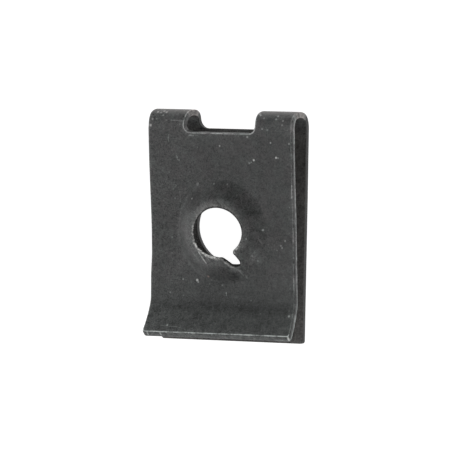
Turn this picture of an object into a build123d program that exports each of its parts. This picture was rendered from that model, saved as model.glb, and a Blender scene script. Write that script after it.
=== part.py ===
from build123d import *
from build123d.topology import SkipClean
import math
import os

# U-type speed nut, one folded piece of spring steel.
# X across the width, +Y towards the bend, +Z the way the screw leaves.
# Heights here are above the outer face of the plain leg, which it lies on. The
# last step lowers the clip by hole_z, so that the origin is on the axis of the
# threaded hole, level with the leg around it. Millimetres.

# ---- sheet and bend ----
t = 0.46                # sheet thickness
bend_r = 1.283          # outer radius of the bend
bend_top = 9.21         # hole axis to the outside of the bend
plain_end = -8.40       # hole axis to the free end of the plain leg

# ---- threaded leg, heights of its outer face ----
lean_1 = 3.4            # slope of the leg next to the bend, degrees
knee_y, knee_z = 5.21, 2.407
hole_y, hole_z = 0.20, 1.972
ease = 1.0              # the leg's two slow bends reach this far each way
lip_y = -5.00           # where the lead-in lip starts
lean_3 = 2.18           # slope of the leg below the hole, degrees
lip_r1, lip_a1 = 2.2, 20.0      # first bend of the lip, on the outer face
lip_r2, lip_a2 = 9.0, 34.9      # second, gentler bend, up to this angle

# ---- outline ----
half_w = 6.35           # half the width at the bend
plain_half_w_end = 6.18  # half the width at the plain leg's free end
# threaded leg, y and half width to its +X side, and to its -X side, where the lip flares more
side = [(7.80, 6.35), (5.0, 6.325), (1.5, 6.302), (-1.0, 6.298), (-3.5, 6.315),
        (-5.5, 6.355), (-7.0, 6.425), (-8.3, 6.485)]
side_left = [(7.80, 6.35), (5.0, 6.36), (1.5, 6.337), (-1.0, 6.333), (-1.9, 6.338), (-2.7, 6.384),
             (-3.5, 6.430), (-5.5, 6.470), (-7.0, 6.540), (-8.3, 6.600)]
corner_r = 0.20         # free corners of both legs
split = 0.95            # a height between the legs, where cuts through one of them stop

# ---- window through the bend ----
win_half = 3.21
win_front_y = 7.52      # its edge in the threaded leg
win_back_y = 7.77       # its edge in the plain leg
win_front_r = 0.55
win_back_r = 0.70

# ---- holes ----
hole_r = 1.82           # threaded hole, at the crests of the rim
clear_a, clear_b = 3.24, 2.75     # plain leg's clearance hole, half width and half length
clear_y = 0.263         # its centre, towards the bend

# ---- relief slot ----
slot_w = 0.44
slot_dir = -51.2        # degrees from +X
slot_off = -0.385       # distance of its centre line from the hole axis
slot_end = 2.79         # centre of its rounded end, along the centre line

# ---- formed impression ----
dome_r = 3.92           # where it leaves the flat of the leg
crown_r = 2.30          # where the flank turns over into the rim
rim_deg = [-56, -30, 0, 30, 60, 90, 120, 150, 180, 210, 240, 270, 289]
rim_h = [0.16, 0.17, 0.23, 0.39, 0.60, 0.83, 1.03, 1.18, 1.29, 1.34, 1.36, 1.37, 1.37]
high_deg, low_deg = 289, -56     # the slot's raised and low sides
ring = [1.30, 1.82, 2.25, 2.65, 3.05, 3.45, 3.78, 3.97, 4.17]   # radii a section runs through

rad = math.radians


def smooth(x):
    x = min(1.0, max(0.0, x))
    return x * x * (3 - 2 * x)


def rim_height(deg):
    """Height of the rim above the leg, by angle; a monotone cubic through the table."""
    x, y = rim_deg, rim_h
    if deg <= x[0]:
        return y[0]
    if deg >= x[-1]:
        return y[-1]
    i = 0
    while deg > x[i + 1]:
        i += 1
    d = [(y[j + 1] - y[j]) / (x[j + 1] - x[j]) for j in range(len(x) - 1)]
    m = [0.0] + [0.0 if d[j - 1] * d[j] <= 0 else 2 * d[j - 1] * d[j] / (d[j - 1] + d[j])
                 for j in range(1, len(d))] + [0.0]
    s, w = (deg - x[i]) / (x[i + 1] - x[i]), x[i + 1] - x[i]
    return (y[i] * (1 + 2 * s) * (1 - s) ** 2 + m[i] * w * s * (1 - s) ** 2
            + y[i + 1] * s * s * (3 - 2 * s) - m[i + 1] * w * s * s * (1 - s))


def leg_z(y):
    """Outer face of the threaded leg, before the impression."""
    if y > hole_y:
        return hole_z + (y - hole_y) * (knee_z - hole_z) / (knee_y - hole_y)
    return hole_z + (y - hole_y) * math.tan(rad(lean_3))


def leg_z_soft(y):
    """The same with the corner at the hole eased."""
    e = ease
    if abs(y - hole_y) >= e:
        return leg_z(y)
    s = (y - hole_y + e) / (2 * e)
    a, b, c = leg_z(hole_y - e), hole_z, leg_z(hole_y + e)
    return a * (1 - s) ** 2 + 2 * b * s * (1 - s) + c * s * s


def swell(rho):
    """Share of the rim's height reached at a radius."""
    u = min(1.0, (dome_r - rho) / (dome_r - hole_r))
    if u <= 0:
        return 0.0
    return 0.80 * smooth((dome_r - rho) / (dome_r - crown_r)) + 0.20 * u


def section(deg, drop, floor):
    """Closed radial section under the impression's surface, down to floor below the leg's face."""
    c, n, h = math.cos(rad(deg)), math.sin(rad(deg)), rim_height(deg if deg <= high_deg else deg - 360)
    pts = []
    for r in ring:
        z = h * swell(r) - 0.55 * max(0.0, r - dome_r)
        pts.append((r * c, r * n, leg_z_soft(r * n) + z - drop))
    x0, y0 = ring[0] * c, ring[0] * n
    x1, y1 = ring[-1] * c, ring[-1] * n
    a = (x0, y0, leg_z_soft(y0) - floor)
    b = (x1, y1, leg_z_soft(y1) - floor)
    return Wire([Edge.make_spline(pts), Edge.make_line(pts[-1], b),
                 Edge.make_line(b, a), Edge.make_line(a, pts[0])])


def turn_of(drop, floor):
    """The impression's ring: one helical turn, and the short return under the slot."""
    degs = [low_deg + (high_deg - low_deg) * i / 23 for i in range(24)]
    helix = Solid.make_loft([section(d, drop, floor) for d in degs])
    back = Solid.make_loft([section(high_deg, drop, floor), section(low_deg + 360, drop, floor)], True)
    return helix, back


def sheet_path():
    """Outer face of the whole strip as one line, from the plain leg's end to the lip's edge."""
    cy, cz = bend_top - bend_r, bend_r
    a = rad(90 + lean_1)
    end = (cy + bend_r * math.cos(a), cz + bend_r * math.sin(a))
    mid = (cy + bend_r, cz)
    b = rad(lean_3)
    e1, e2 = (-math.cos(b), -math.sin(b)), (-math.sin(b), math.cos(b))
    start = (lip_y, leg_z(lip_y))

    def at(u, v):
        return (start[0] + u * e1[0] + v * e2[0], start[1] + u * e1[1] + v * e2[1])

    s1, c1 = math.sin(rad(lip_a1)), math.cos(rad(lip_a1))
    s2, c2 = math.sin(rad(lip_a2)), math.cos(rad(lip_a2))
    sm1, cm1 = math.sin(rad(lip_a1 / 2)), math.cos(rad(lip_a1 / 2))
    am = rad((lip_a1 + lip_a2) / 2)
    m1 = at(lip_r1 * sm1, lip_r1 * (1 - cm1))
    p1 = at(lip_r1 * s1, lip_r1 * (1 - c1))
    m2 = at(lip_r1 * s1 + lip_r2 * (math.sin(am) - s1),
            lip_r1 * (1 - c1) + lip_r2 * (c1 - math.cos(am)))
    p2 = at(lip_r1 * s1 + lip_r2 * (s2 - s1), lip_r1 * (1 - c1) + lip_r2 * (c1 - c2))
    return dict(cy=cy, end=end, mid=mid, start=start, m1=m1, p1=p1, m2=m2, p2=p2)


def strip():
    """The folded strip, full width and a little over, as an extrusion across X."""
    g = sheet_path()
    lean_2 = math.degrees(math.atan2(knee_z - hole_z, knee_y - hole_y))

    def eased(p, before, after):
        """Start, middle and end of the slow bend at a corner of the leg, and the slopes there."""
        half = rad(after - before) / 2
        r = ease / math.tan(abs(half))
        m = r * (1 / math.cos(half) - 1)
        a, c, b = rad(before), rad((before + after) / 2), rad(after)
        side = 1 if after < before else -1
        return [((p[0] + ease * math.cos(a), p[1] + ease * math.sin(a)), before),
                ((p[0] - side * m * math.sin(c), p[1] + side * m * math.cos(c)), (before + after) / 2),
                ((p[0] - ease * math.cos(b), p[1] - ease * math.sin(b)), after)]

    k = eased((knee_y, knee_z), lean_1, lean_2)
    h = eased((hole_y, hole_z), lean_2, lean_3)
    outer = [Line((plain_end, 0), (g["cy"], 0)),
             ThreePointArc((g["cy"], 0), g["mid"], g["end"]),
             Line(g["end"], k[0][0]), ThreePointArc(k[0][0], k[1][0], k[2][0]),
             Line(k[2][0], h[0][0]), ThreePointArc(h[0][0], h[1][0], h[2][0]),
             Line(h[2][0], g["start"]),
             ThreePointArc(g["start"], g["m1"], g["p1"]),
             ThreePointArc(g["p1"], g["m2"], g["p2"])]
    # inner face: the same line moved in by the thickness
    ir = bend_r - t
    a = rad(90 + lean_1)
    iend = (g["cy"] + ir * math.cos(a), bend_r + ir * math.sin(a))

    def inward(p, deg):
        return (p[0] + t * math.sin(rad(deg)), p[1] - t * math.cos(rad(deg)))

    ki, hi = [inward(*q) for q in k], [inward(*q) for q in h]
    j0 = inward(g["start"], lean_3)
    jm1 = inward(g["m1"], lean_3 - lip_a1 / 2)
    j1 = inward(g["p1"], lean_3 - lip_a1)
    jm2 = inward(g["m2"], lean_3 - (lip_a1 + lip_a2) / 2)
    j2 = inward(g["p2"], lean_3 - lip_a2)
    inner = [Line(g["p2"], j2),
             ThreePointArc(j2, jm2, j1),
             ThreePointArc(j1, jm1, j0),
             Line(j0, hi[2]), ThreePointArc(hi[2], hi[1], hi[0]),
             Line(hi[0], ki[2]), ThreePointArc(ki[2], ki[1], ki[0]),
             Line(ki[0], iend),
             ThreePointArc(iend, (g["cy"] + ir, bend_r), (g["cy"], t)),
             Line((g["cy"], t), (plain_end, t)),
             Line((plain_end, t), (plain_end, 0))]
    wire = Wire([e for c in outer + inner for e in c.edges()])
    face = Face(wire)
    # profile drawn as (y, z): turn it upright and extrude across X
    face = Plane(origin=(-7, 0, 0), x_dir=(0, 1, 0), z_dir=(1, 0, 0)).from_local_coords(face)
    return Solid.extrude(face, Vector(14, 0, 0))


def one(shape):
    """The single solid a cut or a union leaves."""
    found = list(shape) if isinstance(shape, (list, tuple)) else [shape]
    return max((s for f in found for s in f.solids()), key=lambda s: s.volume)


def prism(points_or_wire, z0, z1):
    w = points_or_wire if isinstance(points_or_wire, Wire) else Wire.make_polygon(
        [(x, y, 0) for x, y in points_or_wire])
    return Solid.extrude(Face(w), Vector(0, 0, z1 - z0)).moved(Location((0, 0, z0)))


def leg_outline(pts, pts_left):
    """Closed outline of a leg: its two sides and straight ends."""
    right = Spline(*[(x, y) for y, x in pts])
    left = Spline(*[(-x, y) for y, x in pts_left])
    top = Line((-pts_left[0][1], pts[0][0]), (pts[0][1], pts[0][0]))
    bot = Line((-pts_left[-1][1], pts[-1][0]), (pts[-1][1], pts[-1][0]))
    return Wire([*right.edges(), *left.edges(), *top.edges(), *bot.edges()])


def window(half, y0, r, z0, z1):
    box = prism([(-half, y0), (half, y0), (half, bend_top + 1), (-half, bend_top + 1)], z0, z1)
    low = [e for e in box.edges().filter_by(Axis.Z) if e.center().Y < y0 + 0.01]
    return box.fillet(r, low)


def build():
    body = strip()

    # outlines: the threaded leg keeps its waist and wider lip, the plain leg its taper
    top_y = 7.80
    up = prism(leg_outline(side, side_left), split, 5.0)
    down = prism([(-plain_half_w_end, plain_end), (plain_half_w_end, plain_end),
                  (half_w, top_y), (-half_w, top_y)], -1.0, split)
    down = down.fillet(corner_r, [e for e in down.edges().filter_by(Axis.Z)
                                  if e.center().Y < plain_end + 0.01])
    bend = prism([(-half_w, top_y), (half_w, top_y), (half_w, bend_top + 1),
                  (-half_w, bend_top + 1)], -1.0, 5.0)
    keep = one(one(up.fuse(bend)).fuse(down))
    body = one(body.intersect(keep))
    tip = [e for e in body.edges() if e.length < 1.2 * t and abs(e.center().X) > 6.3
           and e.center().Y < lip_y - 2 and e.center().Z > split]
    body = body.fillet(corner_r, tip)

    # the impression: a ring with its outer surface, hollowed to its inner one
    for ring_part in turn_of(0.0, 0.30):
        body = one(body.fuse(ring_part))
    for ring_part in turn_of(t, 1.05):
        body = one(body.cut(ring_part))
    return body


def slot_tool():
    """The relief slot, from inside the hole to its rounded end."""
    c, n = math.cos(rad(slot_dir)), math.sin(rad(slot_dir))

    def at(p, q):
        return (p * c - q * n, p * n + q * c, 0)

    h = slot_w / 2
    a, b = at(1.0, slot_off - h), at(slot_end, slot_off - h)
    m = at(slot_end + h, slot_off)
    d, e = at(slot_end, slot_off + h), at(1.0, slot_off + h)
    w = Wire([Edge.make_line(a, b), Edge.make_three_point_arc(b, m, d),
              Edge.make_line(d, e), Edge.make_line(e, a)])
    return prism(w, split, 5.0)


def clearance_tool():
    """The plain leg's hole: two half circles a little apart, wider across the leg."""
    r, c = clear_b, clear_a - clear_b
    y = clear_y
    w = Wire([Edge.make_three_point_arc((c, y - r, 0), (c + r, y, 0), (c, y + r, 0)),
              Edge.make_line((c, y + r, 0), (-c, y + r, 0)),
              Edge.make_three_point_arc((-c, y + r, 0), (-c - r, y, 0), (-c, y - r, 0)),
              Edge.make_line((-c, y - r, 0), (c, y - r, 0))])
    return prism(w, -1.0, split)


def hole_tool():
    """The hole's cylinder in twelve arcs, each short enough for the rim to stay one sheet high."""
    def on(deg):
        return (hole_r * math.cos(rad(deg)), hole_r * math.sin(rad(deg)), 0)
    arcs = [Edge.make_three_point_arc(on(low_deg + 30 * i), on(low_deg + 30 * i + 15), on(low_deg + 30 * i + 30))
            for i in range(12)]
    return prism(Wire(arcs), split, 5.0)


clip = build()
for tool in (window(win_half, win_front_y, win_front_r, bend_r, 5.0),
             window(win_half, win_back_y, win_back_r, -1.0, bend_r),
             clearance_tool(), slot_tool()):
    clip = one(clip.cut(tool))
with SkipClean():
    clip = one(clip.cut(hole_tool()))

clip = clip.moved(Location((0, 0, -hole_z)))

os.makedirs("parts", exist_ok=True)
export_step(clip, "parts/clip_body.step")
print("clip_body", clip.is_valid, round(clip.volume, 3), clip.bounding_box())
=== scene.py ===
import bpy
import math
import numpy as np
from mathutils import Matrix, Vector
from mathutils.geometry import delaunay_2d_cdt


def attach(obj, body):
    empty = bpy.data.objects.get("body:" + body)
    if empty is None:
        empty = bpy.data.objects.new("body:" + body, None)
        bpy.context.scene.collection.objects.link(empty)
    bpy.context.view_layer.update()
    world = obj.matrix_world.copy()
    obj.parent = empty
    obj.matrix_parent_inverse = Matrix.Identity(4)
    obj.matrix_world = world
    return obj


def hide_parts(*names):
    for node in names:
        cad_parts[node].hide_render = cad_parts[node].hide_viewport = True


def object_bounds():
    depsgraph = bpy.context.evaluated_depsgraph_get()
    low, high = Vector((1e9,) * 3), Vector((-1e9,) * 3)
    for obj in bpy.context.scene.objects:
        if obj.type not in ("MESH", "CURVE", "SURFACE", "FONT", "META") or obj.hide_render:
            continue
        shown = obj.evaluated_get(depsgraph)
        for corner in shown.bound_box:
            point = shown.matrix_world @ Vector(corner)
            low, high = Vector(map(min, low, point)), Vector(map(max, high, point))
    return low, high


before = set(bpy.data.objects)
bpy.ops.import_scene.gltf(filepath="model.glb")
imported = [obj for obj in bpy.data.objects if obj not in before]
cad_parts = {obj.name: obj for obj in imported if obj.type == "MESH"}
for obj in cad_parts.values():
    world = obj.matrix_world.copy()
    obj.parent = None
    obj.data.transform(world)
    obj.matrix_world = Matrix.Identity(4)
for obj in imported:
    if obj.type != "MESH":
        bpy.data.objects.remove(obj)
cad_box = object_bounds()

rad = math.radians
MM = 0.001

# ------------------------------------------------------------------ sizes, mm
# Heights are above the face the clip lies on, as in the part's source; BASE is
# that face's height in the row frame.
BASE = cad_box[0].z / MM
T = 0.46
BEND_R, BEND_TOP, PLAIN_END = 1.283, 9.2095, -8.40
BEND_Q = 0.45            # how much squarer than round the bend is
LEAN_1, KNEE, HOLE, LEAN_3 = 3.4, (5.21, 2.407), (0.20, 1.972), 2.18
EASE, LIP_Y = 1.0, -5.00
LIP = ((2.2, 20.0), (9.0, 14.9))
SIDE = [(7.80, 6.35), (5.0, 6.325), (1.5, 6.302), (-1.0, 6.298), (-3.5, 6.315),
        (-5.5, 6.355), (-7.0, 6.425), (-8.3, 6.485)]
WIN_HALF, WIN_FRONT, WIN_BACK, WIN_RF, WIN_RB = 3.21, 7.52, 7.77, 0.55, 0.70
# how far the window's sides stand in, by place along the strip: the bend squeezes them together
WIN_S = [16.1, 16.8, 17.3, 17.85, 18.5, 19.3, 19.95, 20.35, 21.35]
WIN_IN_L = [.10, .09, .13, .19, .20, .14, .08, .03, 0.0]
WIN_IN_R = [.05, .05, .08, .12, .15, .15, .14, .13, .16]
CLEAR_A, CLEAR_B, CLEAR_X, CLEAR_Y, CLEAR_TURN = 3.22, 2.81, 0.015, 0.27, -3.0
DOME_R, HOLE_R = 4.0, 1.832
RIM_DEG = [-56, -30, 0, 30, 60, 90, 120, 150, 180, 210, 240, 270, 289]
RIM_H = [0.16, 0.17, 0.23, 0.39, 0.60, 0.83, 1.03, 1.18, 1.29, 1.34, 1.36, 1.37, 1.37]
RIM_DR = [-.11, -.085, -.036, -.030, -.030, -.020, .010, -.010, -.025, .010, -.035, .030, .170]
# the slot's two sides, from the rim outwards
SLOT_L = [(.74, -1.94), (.93, -2.14), (1.08, -2.32), (1.19, -2.45)]
SLOT_TIP = [(1.28, -2.53), (1.39, -2.565), (1.49, -2.535), (1.56, -2.45), (1.58, -2.36)]
SLOT_R = [(1.52, -2.22), (1.36, -2.03), (1.165, -1.82), (1.01, -1.66)]
EDGE_R = 0.07           # rounding where a face meets a cut edge


# ------------------------------------------------------------ the folded line
def fold_line():
    """Outer face of the strip from the plain leg's end to the lip: s, y, z and heading."""
    cy = BEND_TOP - BEND_R
    flat_r = BEND_R / (1 - BEND_Q / 15)
    end = (cy - flat_r * (1 + BEND_Q) * math.sin(rad(LEAN_1)),
           2 * BEND_R - flat_r * (1 + BEND_Q) * (1 - math.cos(rad(LEAN_1))))
    lean_2 = math.degrees(math.atan2(KNEE[1] - HOLE[1], KNEE[0] - HOLE[0]))
    lip = (LIP_Y, HOLE[1] + (LIP_Y - HOLE[0]) * math.tan(rad(LEAN_3)))
    runs = [(cy - PLAIN_END, 0.0),
            (flat_r * rad(180 + LEAN_1), 180 + LEAN_1),
            (math.dist(end, KNEE) - EASE, 0.0),
            (2 * EASE, lean_2 - LEAN_1),
            (math.dist(KNEE, HOLE) - 2 * EASE, 0.0),
            (2 * EASE, LEAN_3 - lean_2),
            (math.dist(HOLE, lip) - EASE, 0.0)]
    runs += [(r * rad(a), -a) for r, a in LIP] + [(0.15, 0.0)]
    step = 0.005
    s, y, z, h = [0.0], [PLAIN_END], [0.0], [0.0]
    marks = [0.0]
    for length, turn in runs:
        n = max(2, int(round(length / step)))
        for _ in range(n):
            d, half = length / n, rad(turn) / n / 2
            h0 = h[-1]
            if turn > 90:
                d *= 1 + BEND_Q * math.cos(4 * (h0 + half))
            s.append(s[-1] + d)
            y.append(y[-1] + d * math.cos(h0 + half))
            z.append(z[-1] + d * math.sin(h0 + half))
            h.append(h0 + 2 * half)
        marks.append(s[-1])
    return np.array(s), np.array(y), np.array(z), np.array(h), marks


LS, LY, LZ, LH, MARK = fold_line()
S_END = MARK[-2]         # the line runs on a little past the lip
S_BEND0, S_BEND1 = MARK[1], MARK[2]
print("line", [round(m, 3) for m in MARK], "tip", round(float(np.interp(S_END, LS, LY)), 3), round(float(np.interp(S_END, LS, LZ)), 3))


def s_of_y(y):
    """Place along the line of a point of the threaded leg."""
    k = LS >= S_BEND1 - 0.6
    return np.interp(-np.asarray(y, float), -LY[k], LS[k])


def monotone(x, y, at):
    x, y = np.asarray(x, float), np.asarray(y, float)
    d = np.diff(y) / np.diff(x)
    m = np.zeros(len(x))
    for i in range(1, len(x) - 1):
        m[i] = 0 if d[i - 1] * d[i] <= 0 else 2 * d[i - 1] * d[i] / (d[i - 1] + d[i])
    i = np.clip(np.searchsorted(x, at) - 1, 0, len(x) - 2)
    w = x[i + 1] - x[i]
    s = np.clip((at - x[i]) / w, 0, 1)
    return (y[i] * (1 + 2 * s) * (1 - s) ** 2 + m[i] * w * s * (1 - s) ** 2
            + y[i + 1] * s * s * (3 - 2 * s) - m[i + 1] * w * s * s * (1 - s))


def smooth(x):
    x = np.clip(x, 0, 1)
    return x * x * (3 - 2 * x)


def rim_height(deg):
    """Height of the rim by angle: one helical turn, and a short ramp back under the slot."""
    d = (deg + 56) % 360 - 56
    up = monotone(RIM_DEG, RIM_H, np.minimum(d, 289))
    back = RIM_H[-1] + (RIM_H[0] - RIM_H[-1]) * smooth((d - 289) / 15)
    return np.where(d <= 289, up, back)


def collar():
    """Height of the collar over its radius, from its slope: steep at the foot, easing off at the rim."""
    r = np.linspace(4.08, 1.5, 256)
    slope = monotone([1.4, 2.3, 2.6, 2.9, 3.4, 3.72, 3.9, 4.08], SLOPE, r)
    h = np.r_[0, np.cumsum(0.5 * (slope[1:] + slope[:-1]) * -np.diff(r))]
    return r[::-1], (h / np.interp(-1.83, -r, h))[::-1]


SLOPE = [.26, .30, .75, 1.05, 1.12, 1.00, .50, 0.0]
COLLAR_R, COLLAR_H = collar()


def swell(rho):
    return np.interp(rho, COLLAR_R, COLLAR_H)


def dome(x, y):
    rho = np.hypot(x, y)
    return rim_height(np.degrees(np.arctan2(y, x))) * swell(rho)


def thinning(x, y):
    """How much of the sheet is drawn away at the raised rim, as a share of its thickness."""
    out = np.zeros(np.shape(x))
    near = np.hypot(x, y) < 4.0
    if HOLE_LOOP and near.any():
        d = dist_to(HOLE_LOOP[0], np.stack([x[near], y[near]], 1))
        out[near] = 0.60 * smooth((0.50 - d) / 0.50) * smooth((dome(x[near], y[near]) - 0.12) / 0.5)
    return out


HOLE_LOOP = []          # the screw hole's outline in x and y, once it is made


def place(x, s, depth):
    """Row-frame points, in mm, of places on the flat strip at a depth below its outer face."""
    x, s, depth = (np.asarray(v, float) for v in np.broadcast_arrays(x, s, depth))
    # the lip was sheared from above, so its end leans out towards the inner face
    s = s + smooth((s - S_END + 0.5) / 0.5) * (0.12 * depth / T - 0.075 + 0.004 * x * (x < 0) * -1)
    y, z, h = np.interp(s, LS, LY), np.interp(s, LS, LZ), np.interp(s, LS, LH)
    ny, nz = -np.sin(h), np.cos(h)
    leg = s > S_BEND1
    rho = np.hypot(x, y)
    near = np.where(leg, smooth((5.2 - rho) / 1.2), 0)      # around the hole the sheet's depth is along Z
    ny, nz = ny * (1 - near), nz * (1 - near) - near
    up = np.where(leg & (rho < 4.2), dome(x, y), 0)
    part = leg & (rho < 4.0) & (depth > 0.02)        # the rim is drawn thin
    if part.any():
        depth = depth.copy()
        depth[part] *= 1 - thinning(x[part], y[part])
    return np.stack([x, y + ny * depth, z + up + nz * depth + BASE], -1)


# ------------------------------------------------------------------- outlines
def resample(pts, step, closed=True):
    p = np.asarray(pts, float)
    if closed:
        p = np.vstack([p, p[:1]])
    d = np.r_[0, np.cumsum(np.hypot(*np.diff(p, axis=0).T))]
    n = max(3, int(round(d[-1] / step)))
    t = np.linspace(0, d[-1], n + 1)
    q = np.stack([np.interp(t, d, p[:, 0]), np.interp(t, d, p[:, 1])], 1)
    return q[:-1] if closed else q


def rounded(corner, a, b, r, n=7):
    """Arc of radius r at a corner between points a and b."""
    c, a, b = (np.asarray(v, float) for v in (corner, a, b))
    u, v = (a - c) / np.linalg.norm(a - c), (b - c) / np.linalg.norm(b - c)
    half = math.acos(np.clip(u @ v, -1, 1)) / 2
    p, q = c + u * r / math.tan(half), c + v * r / math.tan(half)
    o = c + (u + v) / np.linalg.norm(u + v) * r / math.sin(half)
    a0, a1 = math.atan2(*(p - o)[::-1]), math.atan2(*(q - o)[::-1])
    turn = (a1 - a0 + math.pi) % (2 * math.pi) - math.pi
    return [o + r * np.array([math.cos(a0 + turn * i / n), math.sin(a0 + turn * i / n)])
            for i in range(n + 1)]


def half_width(s):
    y = np.interp(s, LS, LY)
    plain = 6.18 + (6.35 - 6.18) * (y - PLAIN_END) / (7.80 - PLAIN_END)
    k = sorted(SIDE)
    leg = monotone([a for a, _ in k], [b for _, b in k], np.clip(y, -8.3, 7.8))
    return np.where(s < S_BEND0, np.minimum(plain, 6.35), np.where(s > S_BEND1, leg, 6.35))


def outline():
    s = np.linspace(0, S_END, 240)
    w = half_width(s)
    right = np.stack([w, s], 1)
    y = np.interp(s, LS, LY)
    leg = np.interp(-y, [-7.8, -5.0, -1.5, 1.9, 3.5, 5.0, 6.5, 7.5], [.04, .06, .06, .06, .145, .14, .115, .115])
    wider = np.where(s > S_BEND1, leg, 0.02)
    c0 = rounded((w[0], 0), (0, 0), (w[3], s[3]), 0.20)
    c1 = rounded((w[-1], S_END), (w[-4], s[-4]), (0, S_END), 0.20)
    r = [p for p in c0] + [p for p in right if 0.3 < p[1] < S_END - 0.3] + [p for p in c1]
    r = [np.array([p[0] + np.interp(p[1], [0, 11, S_BEND0, S_BEND1], [0.065, 0.06, 0.035, 0.0]), p[1]]) for p in r]
    left = [np.array([-p[0] - np.interp(p[1], s, wider), p[1]]) for p in reversed(r)]
    return resample(r + left, 0.11)


def window():
    s0, s1 = WIN_BACK - PLAIN_END, float(s_of_y(WIN_FRONT))
    a, b, c, d = (-WIN_HALF, s0), (WIN_HALF, s0), (WIN_HALF, s1), (-WIN_HALF, s1)
    p = (rounded(a, d, b, WIN_RB) + rounded(b, a, c, WIN_RB)
         + rounded(c, b, d, WIN_RF) + rounded(d, c, a, WIN_RF))
    p = resample(p, 0.11)
    inset = np.where(p[:, 0] > 0, np.interp(p[:, 1], WIN_S, WIN_IN_R), np.interp(p[:, 1], WIN_S, WIN_IN_L))
    p[:, 0] -= p[:, 0] / WIN_HALF * inset
    return p


def clearance():
    """The plain leg's clearance hole, a punched oval."""
    t = np.radians(np.linspace(0, 360, 241)[:-1])
    x, y = CLEAR_A * np.cos(t), CLEAR_B * np.sin(t)
    c, d = math.cos(rad(CLEAR_TURN)), math.sin(rad(CLEAR_TURN))
    return resample(np.stack([CLEAR_X + c * x - d * y, CLEAR_Y - PLAIN_END + d * x + c * y], 1), 0.14)


def screw_hole():
    deg = np.linspace(-56, 289, 170)
    r = HOLE_R + monotone(RIM_DEG, RIM_DR, deg)
    ring = [(a * math.cos(rad(b)), a * math.sin(rad(b))) for a, b in zip(r, deg)]
    p = np.array(ring + SLOT_L + SLOT_TIP + SLOT_R)
    q = resample(p, 0.055)
    for _ in range(2):       # takes the last sharpness off the punched corners
        q = 0.5 * q + 0.25 * (np.roll(q, 1, 0) + np.roll(q, -1, 0))
    return np.stack([q[:, 0], s_of_y(q[:, 1])], 1)


def dist_to(loop, p, chunk=2000):
    """Distance from points to a closed loop's line."""
    a, b = loop, np.roll(loop, -1, 0)
    ab = b - a
    out = np.empty(len(p))
    for i in range(0, len(p), chunk):
        q = p[i:i + chunk, None, :] - a[None]
        t = np.clip((q * ab).sum(2) / (ab ** 2).sum(1), 0, 1)
        out[i:i + chunk] = np.sqrt((((q - t[..., None] * ab) ** 2).sum(2)).min(1))
    return out


def inside(poly, p):
    """Which points p lie inside the closed polygon."""
    x, y = p[:, 0], p[:, 1]
    ok = np.zeros(len(p), bool)
    a, b = poly, np.roll(poly, -1, 0)
    for (x0, y0), (x1, y1) in zip(a, b):
        if y0 != y1:
            hit = ((y0 > y) != (y1 > y)) & (x < (x1 - x0) * (y - y0) / (y1 - y0) + x0)
            ok ^= hit
    return ok


def area(poly):
    a, b = poly, np.roll(poly, -1, 0)
    return 0.5 * np.sum(a[:, 0] * b[:, 1] - b[:, 0] * a[:, 1])


def material_side(loop, hole):
    """Unit offsets towards the material, lengthened a little at corners."""
    if (area(loop) > 0) == hole:
        loop = loop[::-1].copy()
    d = np.roll(loop, -1, 0) - loop
    d /= np.linalg.norm(d, axis=1)[:, None]
    n = np.stack([-d[:, 1], d[:, 0]], 1)            # left of the way round
    m = n + np.roll(n, 1, 0)
    m /= np.linalg.norm(m, axis=1)[:, None]
    k = np.clip((m * n).sum(1), 0.7, 1)
    return loop, m / k[:, None]


hole = screw_hole()
HOLE_LOOP.append(np.stack([hole[:, 0], np.interp(hole[:, 1], LS, LY)], 1))
loops = [material_side(outline(), False)]
loops += [material_side(f(), True) for f in (window, clearance, screw_hole)]


# ------------------------------------------------------- points inside the strip
G = 0.10
gx = np.arange(-66, 67)
gs = np.arange(0, int(S_END / G) + 1)
I, J = np.meshgrid(gx, gs, indexing="ij")
P = np.stack([I.ravel() * G, J.ravel() * G], 1)
yy = np.interp(P[:, 1], LS, LY)
leg = P[:, 1] > S_BEND1
rho = np.hypot(P[:, 0], yy)
fine = leg & (rho < 4.3)
fine |= (P[:, 1] > S_BEND0 - 0.2) & (P[:, 1] < S_BEND1 + 0.2)
fine |= P[:, 1] > MARK[-4] - 0.2
keep = inside(loops[0][0], P)
for hole, _ in loops[1:]:
    keep &= ~inside(hole, P)
P, fine, I, J = P[keep], fine[keep], I.ravel()[keep], J.ravel()[keep]
edge = np.min([dist_to(lp, P) for lp, _ in loops], axis=0)
level2 = (I % 2 == 0) & (J % 2 == 0)
keep = (edge > EDGE_R + 0.06) & (fine | level2 | (edge < 0.35))
P = P[keep]
print("inner points", len(P))

# ------------------------------------------------------------- triangulation
coords, edges, start = [], [], []
for lp, m in loops:
    q = lp + m * EDGE_R
    i0 = len(coords)
    start.append(i0)
    coords += [tuple(v) for v in q]
    edges += [(i0 + i, i0 + (i + 1) % len(q)) for i in range(len(q))]
n_loop = len(coords)
coords += [tuple(v) for v in P]
got = delaunay_2d_cdt([Vector(c) for c in coords], edges, [], 0, 1e-7)
v2, tri = np.array([tuple(v) for v in got[0]]), np.array([tuple(f) for f in got[2]])
if len(v2) != len(coords):
    print("cdt changed the points", len(v2), len(coords))
mid = v2[tri].mean(1)
ok = inside(loops[0][0] + loops[0][1] * EDGE_R, mid)
for lp, m in loops[1:]:
    ok &= ~inside(lp + m * EDGE_R, mid)
a, b, c = v2[tri[:, 0]], v2[tri[:, 1]], v2[tri[:, 2]]
ok &= np.abs((b - a)[:, 0] * (c - a)[:, 1] - (b - a)[:, 1] * (c - a)[:, 0]) > 1e-6
tri = tri[ok]
a, b, c = v2[tri[:, 0]], v2[tri[:, 1]], v2[tri[:, 2]]
flip = ((b - a)[:, 0] * (c - a)[:, 1] - (b - a)[:, 1] * (c - a)[:, 0]) < 0
tri[flip] = tri[flip][:, ::-1]
ids = got[3]
where = {}
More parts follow.
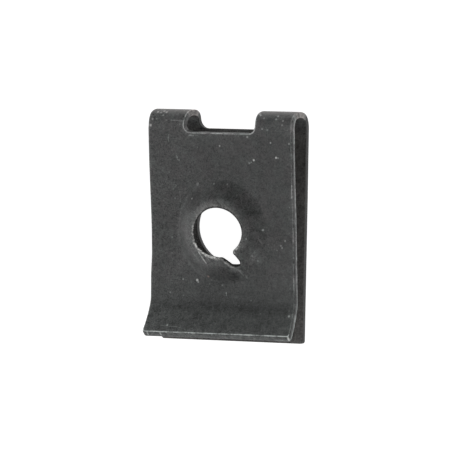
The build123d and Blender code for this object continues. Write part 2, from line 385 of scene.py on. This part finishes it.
for new, olds in enumerate(ids):
    for o in olds:
        where[o] = new

# ------------------------------------------------------------- the solid mesh
edge_v = np.min([dist_to(lp, v2) for lp, _ in loops], axis=0)
n2 = len(v2)
verts = [place(v2[:, 0], v2[:, 1], 0.0), place(v2[:, 0], v2[:, 1], T)]
flat = [np.stack([v2[:, 0], v2[:, 1], np.zeros(n2)], 1), np.stack([v2[:, 0], v2[:, 1], np.full(n2, T)], 1)]
near = [edge_v, edge_v]
# seen from outside, x against s turns over between the two faces
faces = [tri[:, ::-1], tri + n2]
total = 2 * n2
quads = []
R1, R2 = EDGE_R, 0.05
steps = [(R1 * (1 - math.sin(rad(q))), R1 * (1 - math.cos(rad(q)))) for q in (30, 60, 90)]
steps += [(0.0, R1 + (T - R1 - R2) * f) for f in (0.35, 0.7)]
steps += [(R2 * (1 - math.cos(rad(q))), T - R2 * (1 - math.sin(rad(q)))) for q in (0, 30, 60, 90)]
for (lp, m), i0 in zip(loops, start):
    n = len(lp)
    ring = np.array([where[i0 + i] for i in range(n)])
    prev = ring
    for d, depth in steps:
        q = lp + m * d
        verts.append(place(q[:, 0], q[:, 1], depth))
        flat.append(np.stack([q[:, 0], q[:, 1], np.full(n, depth)], 1))
        near.append(np.full(n, max(d, 0.0)))
        cur = np.arange(total, total + n)
        total += n
        quads.append(np.stack([prev, cur, np.roll(cur, -1), np.roll(prev, -1)], 1))
        prev = cur
    last = ring + n2
    quads.append(np.stack([prev, last, np.roll(last, -1), np.roll(prev, -1)], 1))
verts, flat, near = np.vstack(verts), np.vstack(flat), np.concatenate(near)
quads = np.vstack(quads)
print("verts", len(verts), "tris", len(tri) * 2 + len(quads) * 2)

mesh = bpy.data.meshes.new("clip_sheet")
mesh.from_pydata((verts * MM).tolist(), [], [f.tolist() for f in faces[0]]
                 + [f.tolist() for f in faces[1]] + [q.tolist() for q in quads])
mesh.update()
import bmesh
bm = bmesh.new()
bm.from_mesh(mesh)
bmesh.ops.recalc_face_normals(bm, faces=bm.faces)
if bm.calc_volume(signed=True) < 0:
    bmesh.ops.reverse_faces(bm, faces=bm.faces)
print("open edges", sum(not e.is_manifold for e in bm.edges), "volume mm3", round(bm.calc_volume() * 1e9, 2))
bm.to_mesh(mesh)
bm.free()
mesh.polygons.foreach_set("use_smooth", [True] * len(mesh.polygons))
for name, kind, values in (("flat_mm", "FLOAT_VECTOR", flat), ("edge_mm", "FLOAT", near)):
    at = mesh.attributes.new(name, kind, "POINT")
    at.data.foreach_set("vector" if kind == "FLOAT_VECTOR" else "value", values.astype(np.float32).ravel())
clip = bpy.data.objects.new("clip_body_sheet", mesh)
bpy.context.scene.collection.objects.link(clip)
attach(clip, "root")
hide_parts("clip_body")

# ------------------------------------------------------------------- material
# A dark phosphated sheet: fine and broad mottling, lighter margins, painted highlights with some wear on the corners
# and the rim, painted light and shade on the inner faces, the hole walls and the lip, and the small marks of handling.
# Coordinates are the flat strip's, in mm.
SPECKS = [  # x, y, radius, strength
    (-0.036, 6.508, .070, .55), (4.471, 6.835, .065, .60), (2.960, 5.489, .080, .85), (2.730, 5.330, .050, .40),
    (2.593, 5.253, .055, .35), (4.931, 5.724, .085, .80), (5.10, 5.70, .06, .35), (-2.454, 2.444, .060, .55),
    (-2.288, -3.777, .105, .75), (-2.20, -3.92, .07, .45), (0.286, -4.688, .060, .40), (0.29, -4.83, .05, .30),
    (3.574, 0.194, .065, .45), (-2.10, 3.55, .13, .16), (-0.55, 3.62, .08, .22), (0.62, 3.60, .08, .20),
    (5.15, -0.95, .07, .30), (4.80, -1.30, .06, .20)]
FLECKS = [  # the same by place along the strip: x, s, strength
    (-2.43, 25.97, .6), (3.63, 28.22, .7), (2.55, 23.15, .5), (6.00, 34.73, .9), (-2.04, 24.80, .5), (-3.84, 22.85, .5),
    (2.43, 21.17, .8), (5.52, 29.00, .6), (-3.54, 32.18, .6), (5.25, 29.54, .6), (3.75, 20.54, .6), (2.19, 28.94, .5),
    (6.09, 21.62, .7), (4.89, 19.76, .7), (1.62, 31.40, .4), (-4.71, 33.23, .4), (4.20, 20.60, .5), (2.64, 30.23, .4),
    (-0.06, 32.54, .4), (4.98, 19.49, .7), (-4.50, 29.00, .4), (-3.66, 23.06, .4), (-4.14, 26.00, .3), (-4.59, 21.35, .4),
    (-4.59, 24.02, .3), (3.12, 30.59, .4), (5.49, 20.21, .5), (5.52, 19.88, .6), (3.42, 19.43, .7), (3.81, 19.70, .5),
    (-6.03, 19.97, .8), (-6.15, 20.45, 1.2), (-5.67, 19.94, .5), (-5.16, 19.64, .6), (-5.76, 19.31, .9), (-5.46, 19.37, .7),
    (-5.25, 19.19, .9), (-4.98, 19.31, .9), (-4.80, 20.03, .4), (-2.58, 21.14, .6), (-4.50, 35.84, .8), (3.24, 19.25, .8)]
STROKES = [  # long faint lines: x0, s0, x1, s1, half width, strength
    (-4.40, 20.02, -3.25, 20.06, .05, .28), (-4.56, 21.11, -4.59, 21.74, .04, .22), (-5.13, 35.87, -3.51, 35.97, .045, .20),
    (-3.51, 35.97, -2.82, 36.14, .045, .14), (3.20, 19.27, 3.45, 19.42, .07, .40), (-2.75, 21.14, -2.35, 21.16, .07, .30),
    (0.69, 30.53, 0.99, 30.90, .045, .26), (0.99, 30.90, 1.44, 31.25, .045, .20), (1.46, 31.26, 1.85, 31.72, .045, .15),
    (2.97, 29.78, 2.49, 30.26, .05, .11), (2.49, 30.26, 2.20, 31.45, .05, .09)]
SCRATCHES = [  # x0, y0, x1, y1, half width, strength
    (-3.895, 5.697, -3.769, 5.357, .045, .32), (-1.367, -1.574, -0.778, -2.397, .060, .75),
    (2.45, -1.15, 2.52, -1.50, .10, .10), (2.95, -1.55, 2.55, -2.35, .16, .09), (2.55, -2.35, 2.75, -2.85, .12, .08),
    (1.75, -2.95, 2.15, -3.50, .08, .12), (3.20, -0.30, 3.36, -0.72, .06, .14), (3.42, -0.45, 3.46, -0.85, .05, .10),
    (6.24, 3.62, 6.20, 2.72, .06, .55), (6.24, 0.40, 6.22, -0.60, .05, .30), (6.25, -3.4, 6.28, -4.6, .05, .35),
    (-3.70, 2.95, -3.68, 2.15, .04, .20), (-4.3, 3.1, -3.8, 3.55, .04, .12),
    (-5.0, 3.6, -4.7, 4.1, .03, .10), (-0.95, -1.62, -0.45, -2.15, .05, .30)]
FIELDS = [  # broad lighter and darker fields: x, y, radius, gain
    (3.00, -1.95, 1.0, .38), (1.55, 2.70, 1.3, -.10), (2.60, 1.70, 1.2, -.10), (-0.40, -3.10, 1.2, -.14), (-1.0, -5.3, 2.4, -.14), (1.8, -5.6, 1.8, -.15), (-5.4, -6.9, 1.3, .12), (-4.6, -3.6, 1.5, .05),
    (0.90, -3.05, 1.0, -.12), (-5.00, 5.60, 1.5, .06), (0.0, 4.40, 2.2, -.06), 
    (4.6, -5.3, 1.3, -.06), (-3.9, -2.9, 1.3, .06), (4.5, -2.9, 1.4, .06), (-3.3, 0.2, 1.2, .08), (-2.3, 2.3, 1.3, -.26), (-2.3, -2.2, 0.9, -.10), (2.2, 2.2, 1.1, -.10)]
DARK_SPOT = (-1.175, -3.464, .075)      # a reddish speck


class Net:
    """Short names for building a material's nodes."""

    def __init__(self, tree):
        self.tree = tree

    def put(self, socket, value):
        if isinstance(value, bpy.types.NodeSocket):
            self.tree.links.new(value, socket)
        elif value is not None:
            socket.default_value = value

    def math(self, op, a, b=None, c=None, clamp=False):
        n = self.tree.nodes.new("ShaderNodeMath")
        n.operation, n.use_clamp = op, clamp
        for s, v in zip(n.inputs, (a, b, c)):
            self.put(s, v)
        return n.outputs[0]

    def add(self, a, b):
        return self.math("ADD", a, b)

    def mul(self, a, b):
        return self.math("MULTIPLY", a, b)

    def noise(self, at, scale, detail=2.0, rough=0.5, warp=0.0):
        n = self.tree.nodes.new("ShaderNodeTexNoise")
        n.noise_dimensions = "3D"
        self.put(n.inputs["Vector"], at)
        n.inputs["Scale"].default_value = scale
        n.inputs["Detail"].default_value = detail
        n.inputs["Roughness"].default_value = rough
        n.inputs["Distortion"].default_value = warp
        return n.outputs[0]

    def ramp(self, x, x0, x1, y0=0.0, y1=1.0):
        n = self.tree.nodes.new("ShaderNodeMapRange")
        n.interpolation_type = "SMOOTHSTEP"
        for name, v in (("Value", x), ("From Min", x0), ("From Max", x1), ("To Min", y0), ("To Max", y1)):
            self.put(n.inputs[name], v)
        return n.outputs[0]

    def lerp(self, f, a, b):
        n = self.tree.nodes.new("ShaderNodeMix")
        n.data_type = "FLOAT"
        self.put(n.inputs[0], f)
        self.put(n.inputs[2], a)
        self.put(n.inputs[3], b)
        return n.outputs[0]

    def colour(self, f, a, b):
        n = self.tree.nodes.new("ShaderNodeMix")
        n.data_type = "RGBA"
        self.put(n.inputs[0], f)
        self.put(n.inputs[6], a)
        self.put(n.inputs[7], b)
        return n.outputs[2]

    def vec(self, op, a, b=None):
        n = self.tree.nodes.new("ShaderNodeVectorMath")
        n.operation = op
        self.put(n.inputs[0], a)
        if b is not None:
            self.put(n.inputs[1], b)
        return n.outputs["Value"] if op in ("DISTANCE", "LENGTH", "DOT_PRODUCT") else n.outputs["Vector"]

    def xyz(self, v):
        n = self.tree.nodes.new("ShaderNodeSeparateXYZ")
        self.put(n.inputs[0], v)
        return n.outputs

    def join(self, x, y, z):
        n = self.tree.nodes.new("ShaderNodeCombineXYZ")
        for s, v in zip(n.inputs, (x, y, z)):
            self.put(s, v)
        return n.outputs[0]

    def attribute(self, name):
        n = self.tree.nodes.new("ShaderNodeAttribute")
        n.attribute_name = name
        return n


mat = bpy.data.materials.new("dark_phosphate")
mat.use_nodes = True
net = Net(mat.node_tree)
bsdf = mat.node_tree.nodes["Principled BSDF"]
P = net.attribute("flat_mm").outputs["Vector"]
e = net.attribute("edge_mm").outputs["Fac"]
px, ps, pd = net.xyz(P)
coords = net.tree.nodes.new("ShaderNodeTexCoord")
mm = net.vec("SCALE", coords.outputs["Object"])
mm.node.inputs["Scale"].default_value = 1000.0
mx, my, mz = net.xyz(mm)
rho_n = net.math("SQRT", net.add(net.mul(mx, mx), net.mul(my, my)))

threaded = net.ramp(ps, S_BEND1 - 0.1, S_BEND1 + 0.1)
plain = net.ramp(ps, S_BEND0 + 0.2, S_BEND0 - 0.6)
outer = net.ramp(pd, 0.16, 0.03)
inner = net.ramp(pd, 0.28, 0.43)
cut = net.ramp(e, 0.055, 0.015)
hole_zone = net.mul(net.ramp(rho_n, 3.45, 3.15), threaded)
clear_zone = net.mul(net.ramp(rho_n, 3.75, 3.45), plain)
at_rim = net.mul(hole_zone, outer)

# mottling, from broad clouds to grain
n_broad = net.noise(P, 0.45, 2.0, 0.5)
n_cloud = net.noise(P, 1.5, 3.0, 0.55, 0.3)
n_grain = net.noise(P, 5.5, 2.0, 0.6)
n_fine = net.noise(P, 11.0, 1.0, 0.5)
n_mid = net.noise(net.vec("ADD", P, (0.0, 4.4, 2.0)), 2.9, 1.0, 0.5, 0.6)
mottle = net.math("MULTIPLY_ADD", net.math("SUBTRACT", n_broad, 0.5), 0.42, 1.0)
mottle = net.add(mottle, net.mul(net.math("SUBTRACT", n_cloud, 0.5), 0.75))
grain = net.mul(net.math("SUBTRACT", n_mid, 0.5), 0.55)
grain = net.math("MULTIPLY_ADD", net.math("SUBTRACT", n_grain, 0.5), 1.05, grain)
grain = net.math("MULTIPLY_ADD", net.math("SUBTRACT", n_fine, 0.5), 0.80, grain)
grain = net.mul(grain, net.ramp(ps, MARK[-5] - 0.6, MARK[-4], 1.0, 0.80))
rough_side = net.ramp(net.add(net.math("MULTIPLY_ADD", n_broad, 9.0, -4.5), net.math("MULTIPLY_ADD", px, -0.5, net.mul(my, -0.25))), -3.5, 3.5, 0.86, 1.42)
mottle = net.math("MULTIPLY_ADD", grain, rough_side, mottle)
n_salt = net.noise(net.vec("ADD", P, (8.0, 3.0, 1.0)), 5.2, 2.0, 0.5)
salt = net.mul(net.ramp(n_salt, 0.62, 0.74), net.ramp(n_cloud, 0.42, 0.60, 0.10, 1.0))
mottle = net.math("MULTIPLY_ADD", net.mul(salt, rough_side), 0.42, mottle)

# lighter margins along the cut edges, stronger in stretches, with a painted highlight line on the corner itself, partly
# wear
n_run = net.noise(net.vec("ADD", P, (3.1, 7.7, 0.0)), 0.55, 2.0, 0.5)
n_run2 = net.noise(net.vec("ADD", P, (9.2, 1.3, 0.0)), 2.6, 2.0, 0.6)
n_run3 = net.noise(net.vec("ADD", P, (1.7, 5.3, 0.0)), 2.0, 4.0, 0.7)
run = net.ramp(net.math("MULTIPLY_ADD", n_run2, 0.45, net.mul(n_run, 0.75)), 0.50, 0.72)
fade = net.math("EXPONENT", net.mul(e, -1 / 0.20))
margin_and_corner_highlight = net.mul(fade, net.math("MULTIPLY_ADD", run, 0.55, 0.12))
# painted highlight: a bright line on the corner where a face meets a cut edge, partly wear, strongest at the lip's end
# and the window
corner_highlight = net.mul(net.ramp(e, 0.008, 0.045), net.ramp(e, 0.150, 0.075))            # the corner itself
at_lip_end = net.ramp(ps, S_END - 0.40, S_END - 0.22)
at_window = net.mul(net.ramp(net.math("ABSOLUTE", px), 4.0, 3.7), net.ramp(ps, 22.6, 22.2))
at_right = net.ramp(px, 5.0, 5.6)
corner_highlight_gain = net.math("MULTIPLY_ADD", at_lip_end, 3.3, net.math("MULTIPLY_ADD", at_window, 1.5, net.mul(at_right, 0.35)))
margin_and_corner_highlight = net.add(margin_and_corner_highlight, net.mul(net.mul(corner_highlight, net.add(corner_highlight_gain, 0.40)), net.ramp(n_run3, 0.40, 0.60, 0.45, 1.75)))
margin_and_corner_highlight = net.mul(margin_and_corner_highlight, net.math("SUBTRACT", 1.0, net.mul(cut, 0.8)))
margin_and_corner_highlight = net.mul(margin_and_corner_highlight, outer)
margin_and_corner_highlight = net.mul(margin_and_corner_highlight, net.math("SUBTRACT", 1.0, net.math("MAXIMUM", plain, hole_zone)))

# the rim of the screw hole: a lighter band, partly wear and partly painted highlight, a painted highlight line on its
# edge, strongest at the bottom, and a painted shade line at its top and right edge and by the slot
side = net.ramp(net.add(net.mul(mx, -0.62), net.mul(my, -0.78)), -1.2, 1.9)      # more at the lower left
low = net.ramp(net.add(net.mul(mx, -0.35), net.mul(my, -0.93)), -0.6, 1.9)
n_band = net.noise(net.vec("ADD", P, (5.0, 2.0, 0.0)), 2.2, 3.0, 0.6)
band = net.ramp(net.math("MULTIPLY_ADD", net.math("SUBTRACT", n_band, 0.5), 0.7, e), 0.85, 0.40)
# painted highlight: a bright line on the rim's edge, much stronger at the bottom
line = net.mul(net.ramp(e, 0.27, 0.04), net.ramp(n_run3, 0.40, 0.58, 0.40, 1.7))
line = net.mul(line, net.ramp(n_grain, 0.36, 0.64, 0.35, 1.55))
at_slot = net.ramp(net.vec("DISTANCE", P, (1.20, float(s_of_y(-2.25)), 0.0)), 0.85, 0.55)
past_slot = net.ramp(net.vec("DISTANCE", P, (1.56, float(s_of_y(-2.25)), 0.0)), 0.80, 0.40)
line = net.mul(line, net.math("SUBTRACT", 1.0, net.math("MAXIMUM", net.mul(at_slot, 0.5), net.mul(past_slot, 0.95))))
# a lighter ring on the crown at the top, partly wear and partly painted highlight
crown = net.mul(net.mul(net.ramp(e, 0.38, 0.26), net.ramp(e, 0.08, 0.18)), net.ramp(my, 0.6, 1.5))
rim_wear_and_highlight = net.add(net.mul(band, net.lerp(net.ramp(mx, 0.2, 1.8), net.lerp(side, 0.72, 0.34), 0.34)), net.mul(line, net.lerp(low, 0.40, 4.9)))
rim_wear_and_highlight = net.math("MULTIPLY_ADD", crown, 0.45, rim_wear_and_highlight)
rim_wear_and_highlight = net.mul(rim_wear_and_highlight, net.math("MULTIPLY_ADD", net.math("SUBTRACT", n_band, 0.5), 1.6, 1.0))
rim_wear_and_highlight = net.mul(rim_wear_and_highlight, at_rim)
# painted shade: a dark line along the rim's top and right edge and beside the slot
shade = net.math("MAXIMUM", at_slot, net.ramp(net.add(mx, my), 0.2, 1.6))
shade = net.mul(net.mul(shade, at_rim), net.ramp(e, 0.14, 0.05))

# broad fields
field = None
for x, y, r, g in FIELDS:
    d = net.vec("DISTANCE", P, (x, float(s_of_y(y)), 0.0))
    f = net.ramp(d, r, 0.15 * r, 0.0, g)
    field = f if field is None else net.add(field, f)
field = net.mul(field, outer)

# specks and scratches, on the outer face alone
mark = None
jig = net.math("MULTIPLY_ADD", net.math("SUBTRACT", n_fine, 0.5), 0.06, 0.0)
for x, s, r, g in ([(x, float(s_of_y(y)), r, 1.4 * g) for x, y, r, g in SPECKS]
                   + [(x, s, 0.060 + 0.035 * g, 0.68 * g) for x, s, g in FLECKS]):
    d = net.vec("DISTANCE", P, (x, s, 0.0))
    f = net.ramp(net.add(d, jig), r * 1.35, r * 0.45, 0.0, g)
    mark = f if mark is None else net.math("MAXIMUM", mark, f)
for x0, s0, x1, s1, w, g in [(a, float(s_of_y(b)), c, float(s_of_y(d)), w, g) for a, b, c, d, w, g in SCRATCHES] + STROKES:
    a, b = Vector((x0, s0, 0)), Vector((x1, s1, 0))
    ab = b - a
    rel = net.vec("SUBTRACT", P, tuple(a))
    t = net.math("DIVIDE", net.vec("DOT_PRODUCT", rel, tuple(ab)), ab.dot(ab), clamp=True)
    on = net.vec("SCALE", tuple(ab))
    net.put(on.node.inputs["Scale"], t)
    d = net.vec("LENGTH", net.vec("SUBTRACT", rel, on))
    f = net.ramp(net.add(d, jig), w * 1.3, w * 0.3, 0.0, g)
    f = net.mul(f, net.ramp(n_grain, 0.30, 0.62, 0.35, 1.0))
    mark = net.math("MAXIMUM", mark, f)
# loose sprinkling of tiny flecks
cell = net.tree.nodes.new("ShaderNodeTexVoronoi")
cell.feature = "F1"
cell.inputs["Scale"].default_value = 2.0
net.put(cell.inputs["Vector"], P)
pick = net.xyz(cell.outputs["Color"])[0]
fleck = net.mul(net.ramp(cell.outputs["Distance"], 0.16, 0.05), net.ramp(pick, 0.70, 0.95))
mark = net.math("MAXIMUM", mark, net.mul(fleck, net.ramp(n_cloud, 0.35, 0.6, 0.08, 0.26)))
mark = net.mul(mark, outer)
for x, z, r, g in ((6.36, 0.06, 0.125, 1.0), (-6.12, 0.060, 0.085, 0.50), (-4.95, 0.055, 0.085, 0.50)):
    nick = net.vec("DISTANCE", net.vec("MULTIPLY", P, (1.0, 1.0, 0.35)), (x, S_END, z))
    mark = net.math("MAXIMUM", mark, net.ramp(nick, r, 0.44 * r, 0.0, g))

# how light the surface is painted, the coating's tone together with the painted highlights and shade: 1 on the plain
# surface
tone = net.mul(mottle, net.add(1.0, field))
tone = net.mul(tone, net.add(1.0, net.add(margin_and_corner_highlight, rim_wear_and_highlight)))
tone = net.mul(tone, net.lerp(shade, 1.0, 0.38))
# painted light on the inner faces, which lie in shade between the legs; the threaded leg's bend and lip are a little
# lighter
tone = net.mul(tone, net.lerp(inner, 1.0, 1.27))
# painted shade and light on the plain leg's inner face by its right edge: darker towards the bend, lighter towards its
# free end
tone = net.mul(tone, net.lerp(net.mul(net.mul(inner, at_right), net.ramp(ps, 17.5, 16.5)), 1.0, net.ramp(ps, 15.5, 2.0, 0.88, 1.16)))
tone = net.mul(tone, net.lerp(net.mul(net.ramp(ps, 21.3, 20.2), net.ramp(ps, 19.0, 19.7)), 1.0, 1.15))
tone = net.mul(tone, net.lerp(net.ramp(ps, MARK[-3] - 0.1, MARK[-3] + 0.7), 1.0, 1.05))
# painted shade: a darker band where the lip bends out
tone = net.mul(tone, net.lerp(net.mul(net.ramp(ps, MARK[-4] - 0.2, MARK[-4] + 0.5), net.ramp(ps, MARK[-3] + 0.6, MARK[-3] - 0.2)), 1.0, 0.90))
tone = net.mul(tone, net.lerp(net.mul(net.ramp(ps, 17.4, 18.0), net.ramp(ps, 19.4, 18.9)), 1.0, 1.065))
tone = net.math("MULTIPLY_ADD", net.mul(net.mul(inner, net.ramp(ps, 6.0, 1.0)), net.math("SUBTRACT", n_run3, 0.5)), 0.9, tone)
# cut faces by place
n_cut = net.noise(P, 3.2, 3.0, 0.6)
k_side = net.mul(net.ramp(pd, 0.17, 0.33, 0.80, 1.75), net.ramp(net.math("MULTIPLY_ADD", n_run, 0.5, net.mul(n_run3, 0.6)), 0.42, 0.66, 0.62, 1.18))
k_cut = net.lerp(at_right, net.ramp(n_cut, 0.35, 0.68, 0.72, 1.20), k_side)
k_cut = net.lerp(net.mul(net.ramp(ps, S_BEND0 + 0.9, S_BEND0 + 1.5), net.ramp(ps, S_BEND1 - 0.9, S_BEND1 - 1.5)),
                 k_cut, net.ramp(n_cut, 0.35, 0.60, 1.00, 2.00))
k_cut = net.lerp(net.ramp(ps, S_BEND0 + 1.35, S_BEND0 + 0.85), k_cut, 0.45)
# painted shade: the screw hole's cut wall is darkened, and the clearance hole's cut wall, down in the gap, nearly to
# black
k_cut = net.lerp(hole_zone, k_cut, 0.40)
k_cut = net.lerp(clear_zone, k_cut, 0.10)
tone = net.mul(tone, net.lerp(cut, 1.0, k_cut))
# the sheen hides about half of the coating's own contrast
tone = net.math("MULTIPLY_ADD", net.math("SUBTRACT", tone, 1.0), 1.9, 1.0)
base = net.mul(net.math("MAXIMUM", tone, 0.06), 0.0585)
total = net.math("MINIMUM", net.math("MULTIPLY_ADD", mark, 0.50, base), 0.75)

# tint: neutral, a little warm on the marks and on the rim's wear and painted highlight, pinkish on the fold, brownish
# on the plain leg's edge
grey = net.join(total, total, total)
top = net.mul(net.ramp(ps, 17.2, 18.0), net.ramp(ps, 19.6, 18.9))
warm = net.mul(net.add(top, net.mul(plain, cut)), 1.0)
n_hue = net.noise(net.vec("ADD", P, (2.0, 0.0, 6.0)), 0.95, 3.0, 0.6)
cast = net.colour(net.ramp(n_hue, 0.36, 0.64), (0.950, 1.018, 0.992, 1.0), (1.010, 0.994, 0.996, 1.0))
cast = net.colour(net.ramp(ps, 31.5, 33.5), cast, (0.945, 1.014, 0.985, 1.0))
cast = net.colour(net.mul(plain, inner), cast, (1.03, 0.99, 0.95, 1.0))
tint = net.colour(net.math("MINIMUM", warm, 1.0), cast, (1.060, 0.985, 0.940, 1.0))
wear_and_highlight = net.ramp(net.add(rim_wear_and_highlight, mark), 0.3, 1.2)
tint = net.colour(wear_and_highlight, tint, (1.01, 1.015, 0.985, 1.0))
spot_x, spot_y, spot_r = DARK_SPOT
d = net.vec("DISTANCE", P, (spot_x, float(s_of_y(spot_y)), 0.0))
red = net.ramp(d, spot_r * 1.4, spot_r * 0.5)
final = net.vec("MULTIPLY", grey, tint)
final = net.colour(red, final, (0.26, 0.17, 0.155, 1.0))
net.put(bsdf.inputs["Base Color"], final)
rough = net.math("MULTIPLY_ADD", net.math("SUBTRACT", n_cloud, 0.5), 0.30, 0.50)
rough = net.math("SUBTRACT", rough, net.mul(net.math("MINIMUM", net.add(rim_wear_and_highlight, mark), 1.0), 0.06))
rough = net.lerp(net.mul(cut, hole_zone), rough, 0.85)
net.put(bsdf.inputs["Roughness"], rough)
bump = net.tree.nodes.new("ShaderNodeBump")
bump.inputs["Strength"].default_value = 0.5
bump.inputs["Distance"].default_value = 1.2e-5
relief = net.add(net.mul(n_grain, 0.8), net.mul(n_fine, 0.5))
net.put(bump.inputs["Height"], relief)
net.put(bsdf.inputs["Normal"], bump.outputs["Normal"])
mesh.materials.append(mat)

# ---------------------------------------------------------------------- stage
scene = bpy.context.scene
bpy.ops.mesh.primitive_plane_add(size=3.0, location=(0, 0, cad_box[0].z - 0.00002))
floor = bpy.context.object
floor.name = "floor"
fm = bpy.data.materials.new("floor")
fm.use_nodes = True
fb = fm.node_tree.nodes["Principled BSDF"]
fb.inputs["Base Color"].default_value = (0.4, 0.4, 0.4, 1)
fb.inputs["Roughness"].default_value = 0.9
fb.inputs["Emission Color"].default_value = (1, 1, 1, 1)
fb.inputs["Emission Strength"].default_value = 0.96
floor.data.materials.append(fm)

world = bpy.data.worlds.new("studio")
scene.world = world
world.use_nodes = True
world.node_tree.nodes["Background"].inputs["Color"].default_value = (1, 1, 1, 1)
world.node_tree.nodes["Background"].inputs["Strength"].default_value = 0.02

# camera, at the angle the clip is seen from
A, E, ROLL, DIST = rad(31.04), rad(2.04), rad(-0.65), 560.0
K, U0, V0 = 13.145, 226.4, 231.1
C = Vector((math.sin(A) * math.cos(E), math.sin(E), math.cos(A) * math.cos(E)))
R = Vector((math.cos(A), 0, -math.sin(A)))
U = Vector((-math.sin(A) * math.sin(E), math.cos(E), -math.cos(A) * math.sin(E)))
R2_ = math.cos(ROLL) * R - math.sin(ROLL) * U
U2_ = math.sin(ROLL) * R + math.cos(ROLL) * U
O = Vector((0, 0.01, 1.4 + BASE))
target = O + ((226.0 - U0) * R2_ - (226.0 - V0) * U2_) / K
pos = (target + DIST * C) * MM
cam = bpy.data.cameras.new("camera")
cam.lens = K * DIST * 36 / 452
cam.sensor_width = 36
cam.clip_start, cam.clip_end = 0.01, 10
camera = bpy.data.objects.new("camera", cam)
scene.collection.objects.link(camera)
m = Matrix((R2_, U2_, C)).transposed().to_4x4()
m.translation = pos
camera.matrix_world = m
scene.camera = camera


def area_light(name, direction, dist, size, power, color=(1, 1, 1)):
    d = Vector(direction).normalized()
    li = bpy.data.lights.new(name, "AREA")
    li.shape, li.size, li.energy, li.color = "DISK", size, power, color
    o = bpy.data.objects.new(name, li)
    scene.collection.objects.link(o)
    o.location = d * dist
    o.rotation_euler = d.to_track_quat("Z", "Y").to_euler()
    return o


# a broad soft source on the left, weaker ones around: tilt from +Z, angle round it, watts
for tilt, turn, watts in ((35, 180, 0.445), (60, 180, 0.20), (35, 0, 0.32), (60, 0, 0.34), (60, 315, 0.47),
                          (80, 180, 0.37), (80, 225, 0.72), (80, 135, 0.32), (80, 90, 0.34), (80, 45, 0.32)):
    way = (math.sin(rad(tilt)) * math.cos(rad(turn)), math.sin(rad(tilt)) * math.sin(rad(turn)), math.cos(rad(tilt)))
    area_light("soft_%d_%d" % (tilt, turn), way, 0.5, 0.35, watts)

scene.view_settings.view_transform = "Standard"
